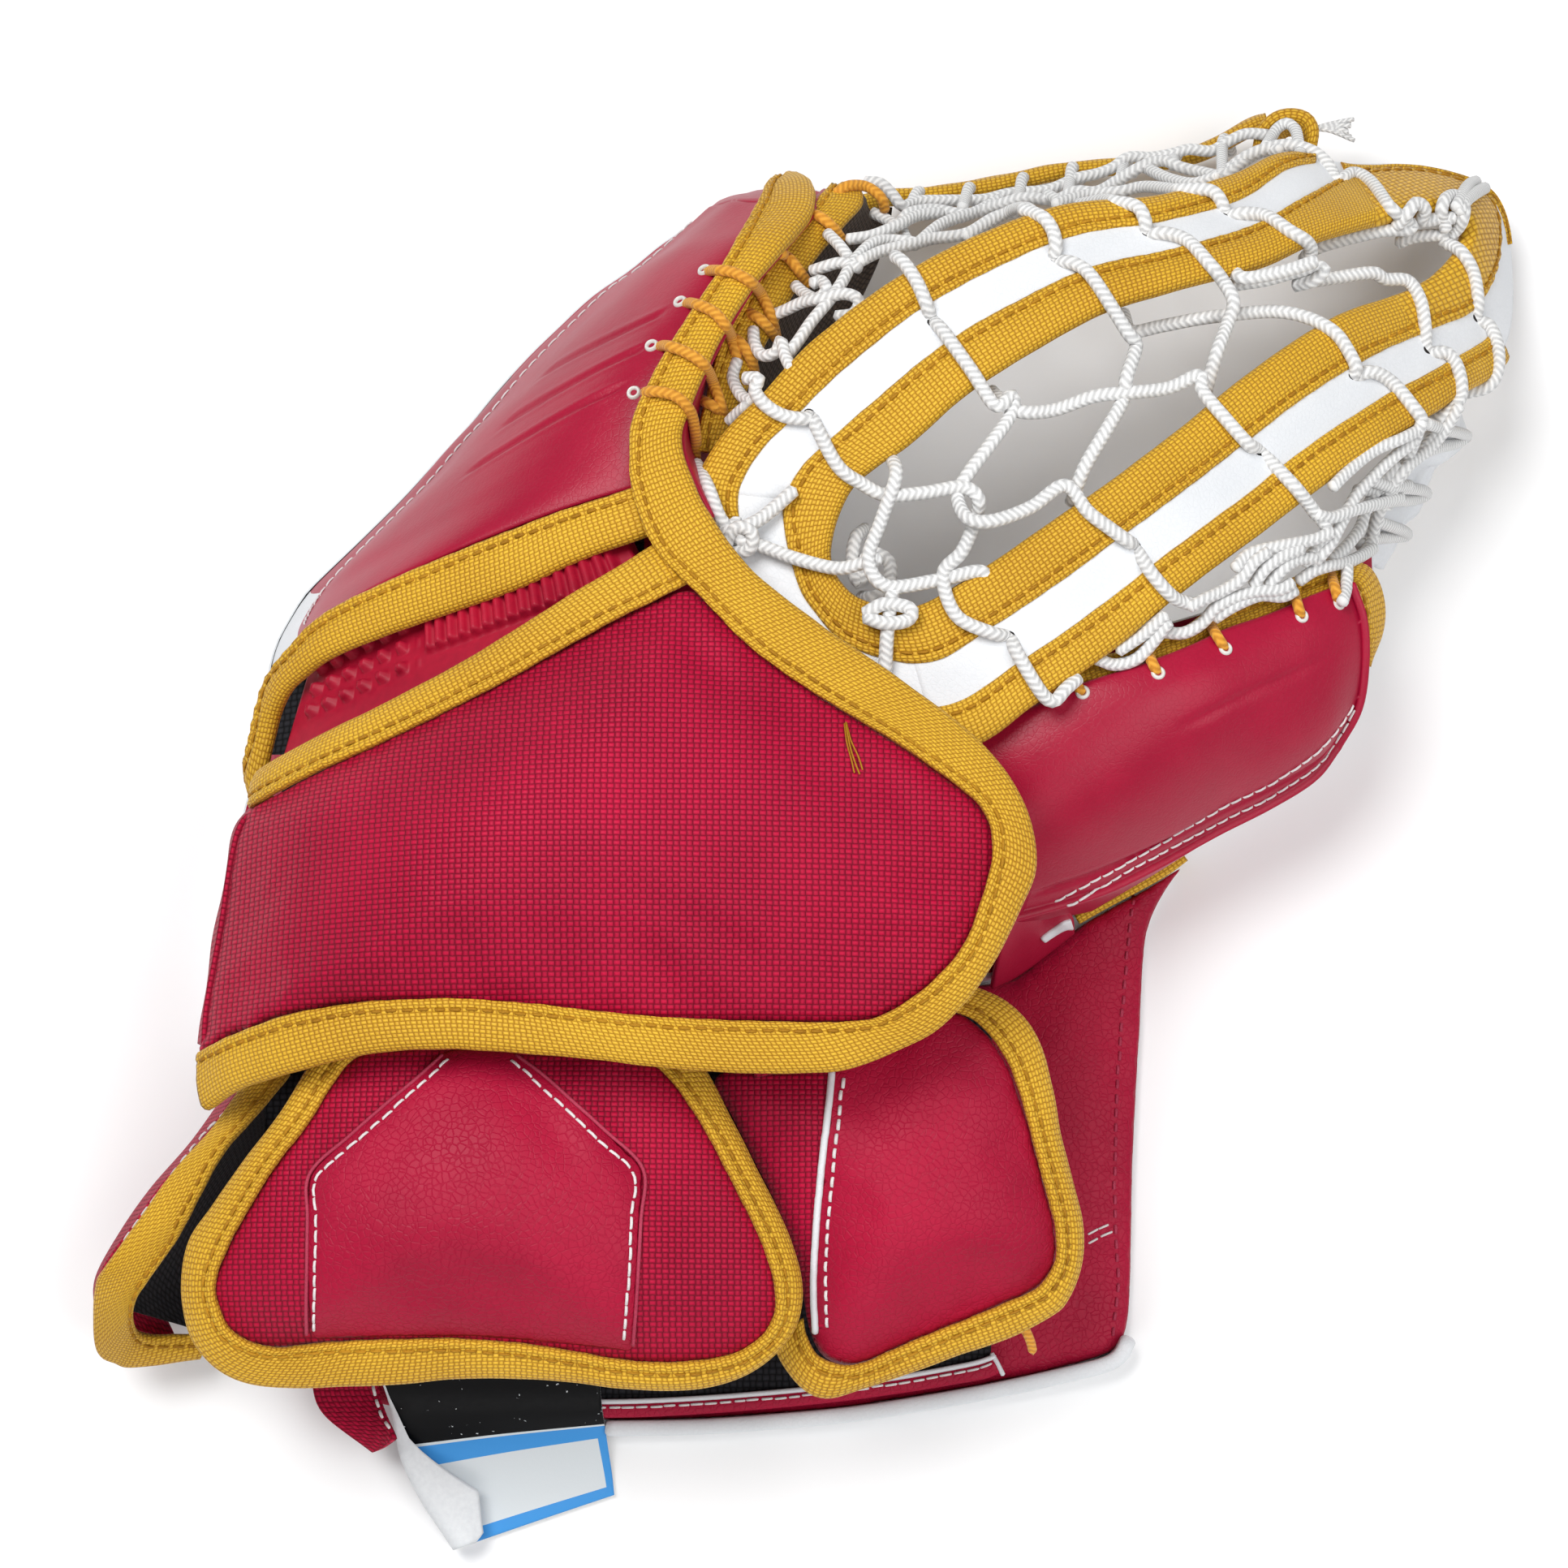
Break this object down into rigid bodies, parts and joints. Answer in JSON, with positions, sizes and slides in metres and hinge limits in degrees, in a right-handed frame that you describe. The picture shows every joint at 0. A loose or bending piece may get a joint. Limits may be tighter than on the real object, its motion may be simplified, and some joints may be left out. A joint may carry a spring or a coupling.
{
  "type": "goalie catch glove",
  "caption": "Hockey goalie catch glove lying palm down: laced T web pocket, moulded finger and thumb shells, padded backhand, hinged thumb side and wrist pads that lift.",
  "frame": {"origin": "centre of the bounding box in plan, on the plane the glove rests on", "axes": "+X towards the thumb and web, +Y towards the finger tips, +Z away from the catching face"},
  "size_m": [0.3544, 0.3702, 0.107],
  "materials": {
    "red_leather": "smooth, satin",
    "red_nylon": "coarse ballistic weave",
    "yellow_binding": "woven tape, matt",
    "white_leather": "smooth, satin",
    "white_lace": "braided cord",
    "orange_lace": "braided cord",
    "black_lining": "brushed, matt",
    "foam": "closed-cell foam",
    "white_plastic": "matt",
    "red_rubber": "moulded ribs, satin",
    "tag_sheet": "coated sheet, blank"
  },
  "bodies": {
    "palm": {"catch_leather": "white_leather", "palm_foam": "foam", "palm_lining": "black_lining", "finger_shell": "red_leather", "finger_stiffener": "white_plastic", "finger_lower_binding": "yellow_binding", "backhand_binding": "yellow_binding", "finger_panel_binding": "yellow_binding", "finger_back_pad": "red_rubber", "finger_loop": "black_lining", "finger_eyelet_1": "white_plastic", "finger_eyelet_2": "white_plastic", "finger_eyelet_3": "white_plastic", "finger_eyelet_4": "white_plastic", "finger_edge_lace": "orange_lace", "hand_pad": "red_nylon", "hand_pad_top_binding": "yellow_binding", "hand_side_panel": "red_nylon", "cuff_leather": "white_leather", "cuff_board": "white_plastic", "cuff_inner_leather": "red_leather", "cuff_lining": "black_lining", "cuff_edge_binding": "white_leather", "cuff_wing": "red_nylon", "cuff_wing_binding": "yellow_binding", "cuff_corner_tab": "red_nylon"},
    "web": {"t_inner_binding": "yellow_binding", "t_outer_binding": "yellow_binding", "t_upper_stem": "white_leather", "t_crossbar": "white_leather", "t_lower_stem": "white_leather", "t_base": "white_leather", "t_centre_lace": "white_lace", "finger_side_lace": "white_lace", "thumb_side_lace": "white_lace", "pocket_rim_finger": "yellow_binding", "pocket_rim_thumb": "white_leather", "break_hinge": "white_leather"},
    "thumb": {"thumb_catch_leather": "white_leather", "thumb_foam": "foam", "thumb_shell": "red_leather", "thumb_stiffener": "white_plastic", "thumb_side_wall": "red_leather", "thumb_outer_binding": "yellow_binding", "thumb_edge_binding": "yellow_binding", "thumb_eyelet_1": "white_plastic", "thumb_eyelet_2": "white_plastic", "thumb_eyelet_3": "white_plastic", "thumb_eyelet_4": "white_plastic", "thumb_eyelet_5": "white_plastic", "thumb_edge_lace": "orange_lace", "thumb_loop": "black_lining"},
    "wrist_flap": {"wrist_flap_binding": "yellow_binding", "wrist_flap": "red_nylon", "wrist_flap_patch": "red_leather"},
    "wrist_pad": {"wrist_pad_binding": "yellow_binding", "wrist_pad": "red_nylon", "wrist_pad_piping": "white_leather"},
    "tag": {"hang_tag": "tag_sheet"}
  },
  "joints": [
    {"name": "web_fold", "type": "hinge", "parent": "palm", "child": "web", "pos_m": [-0.00712, 0.03323, 0.066], "axis": [-0.5415, 0.6661, 0.5128], "range_deg": [0, 15], "deforming": ["finger_side_lace", "pocket_rim_finger", "break_hinge"]},
    {"name": "thumb_fold", "type": "hinge", "parent": "web", "child": "thumb", "pos_m": [0.05413, -0.04211, 0.008], "axis": [-0.5415, 0.6661, 0.5128], "range_deg": [0, 15], "deforming": ["thumb_side_lace", "pocket_rim_thumb"]},
    {"name": "wrist_flap_lift", "type": "hinge", "parent": "palm", "child": "wrist_flap", "pos_m": [-0.07926, -0.07181, 0.071], "axis": [-1, 0, 0], "range_deg": [0, 40]},
    {"name": "wrist_pad_lift", "type": "hinge", "parent": "palm", "child": "wrist_pad", "pos_m": [-0.02709, -0.07534, 0.06], "axis": [-0.9561, -0.2931, 0], "range_deg": [0, 35]},
    {"name": "tag_swing", "type": "hinge", "parent": "palm", "child": "tag", "pos_m": [-0.08239, -0.1433, 0.016], "axis": [-1, 0, 0], "range_deg": [0, 60]}
  ],
  "couplings": [
    {"joint": "thumb_fold", "follows": "web_fold", "ratio": 1}
  ]
}
